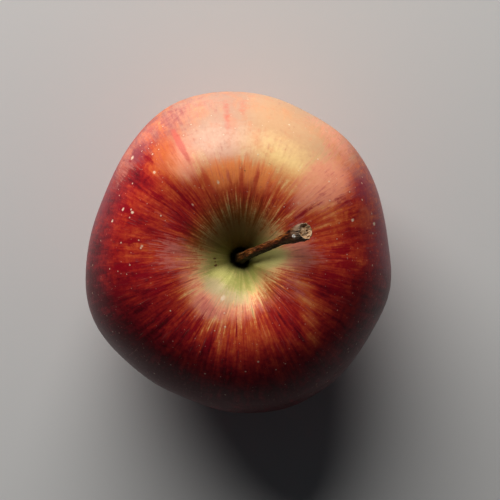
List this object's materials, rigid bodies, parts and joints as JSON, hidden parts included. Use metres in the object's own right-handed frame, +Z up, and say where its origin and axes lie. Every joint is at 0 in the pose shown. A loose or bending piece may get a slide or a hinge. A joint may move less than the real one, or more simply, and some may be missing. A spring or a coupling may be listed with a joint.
{
  "type": "red apple",
  "caption": "Whole ripe red apple with an uneven ribbed body, a bent woody stem in a deep cavity and a dried calyx in the basin below.",
  "frame": {"origin": "on the surface that the apple stands on, under the middle of the box round it", "axes": "+Z up from the calyx to the stem; +Y along the broadest reach of the fruit, towards its higher shoulder; the stem leans towards +X and a little towards +Y"},
  "size_m": [0.0764, 0.0804, 0.0755],
  "materials": {
    "skin": "satin",
    "bark": "matte",
    "sepal": "matte"
  },
  "bodies": {
    "root": {"fruit": "skin", "stem": "bark", "calyx": "sepal"}
  },
  "joints": []
}
